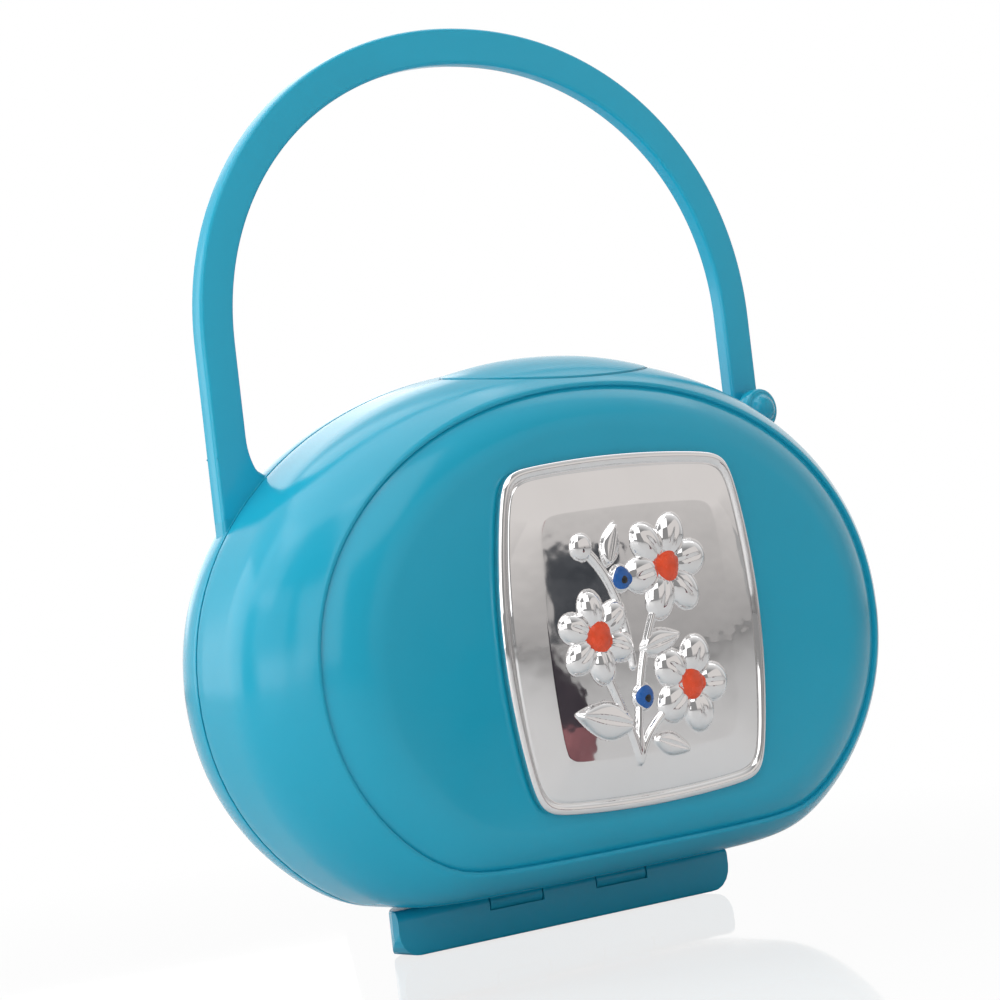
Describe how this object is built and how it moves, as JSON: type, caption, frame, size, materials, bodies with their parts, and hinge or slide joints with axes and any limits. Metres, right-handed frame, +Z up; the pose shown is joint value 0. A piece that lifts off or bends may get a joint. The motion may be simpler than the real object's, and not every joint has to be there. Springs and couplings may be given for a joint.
{
  "type": "pacifier box",
  "caption": "Turquoise clamshell pacifier box with a buttoned carrying strap, a foot, an oval latch pad and a silver plaque on the front.",
  "frame": {"origin": "point of the foot's underside on the parting plane of the two shells, in the middle of the width", "axes": "+Z up when standing on the foot, -Y towards the front face with the plaque, +X to the right seen from the front"},
  "size_m": [0.1172, 0.0513, 0.1341],
  "materials": {
    "shell_plastic": "glossy turquoise polypropylene",
    "base_plastic": "satin deep turquoise polypropylene",
    "silver_foil": "polished silver foil",
    "pin_steel": "drawn steel wire",
    "resin": "cast filler"
  },
  "bodies": {
    "shell": {"rear_shell": "shell_plastic", "foot_base": "base_plastic", "hinge_pin": "pin_steel", "handle_stud": "shell_plastic"},
    "cover": {"front_cover": "shell_plastic", "plaque_foil": "silver_foil", "plaque_backing": "resin"},
    "latch": {"latch_pad": "shell_plastic"},
    "strap": {"handle_strap": "shell_plastic"}
  },
  "joints": [
    {"name": "cover_hinge", "type": "hinge", "parent": "shell", "child": "cover", "pos_m": [0, -0.0003, 0.00519], "axis": [1, 0, 0], "range_deg": [0, 90]},
    {"name": "latch_press", "type": "slide", "parent": "cover", "child": "latch", "axis": [0, 0, -1], "range_m": [0, 0.0012], "stiffness_N_per_m": 600, "springref_m": -0.0005},
    {"name": "strap_root", "type": "hinge", "parent": "shell", "child": "strap", "pos_m": [-0.0486, 0.00165, 0.07516], "axis": [0, -1, 0], "range_deg": [0, 40]}
  ]
}
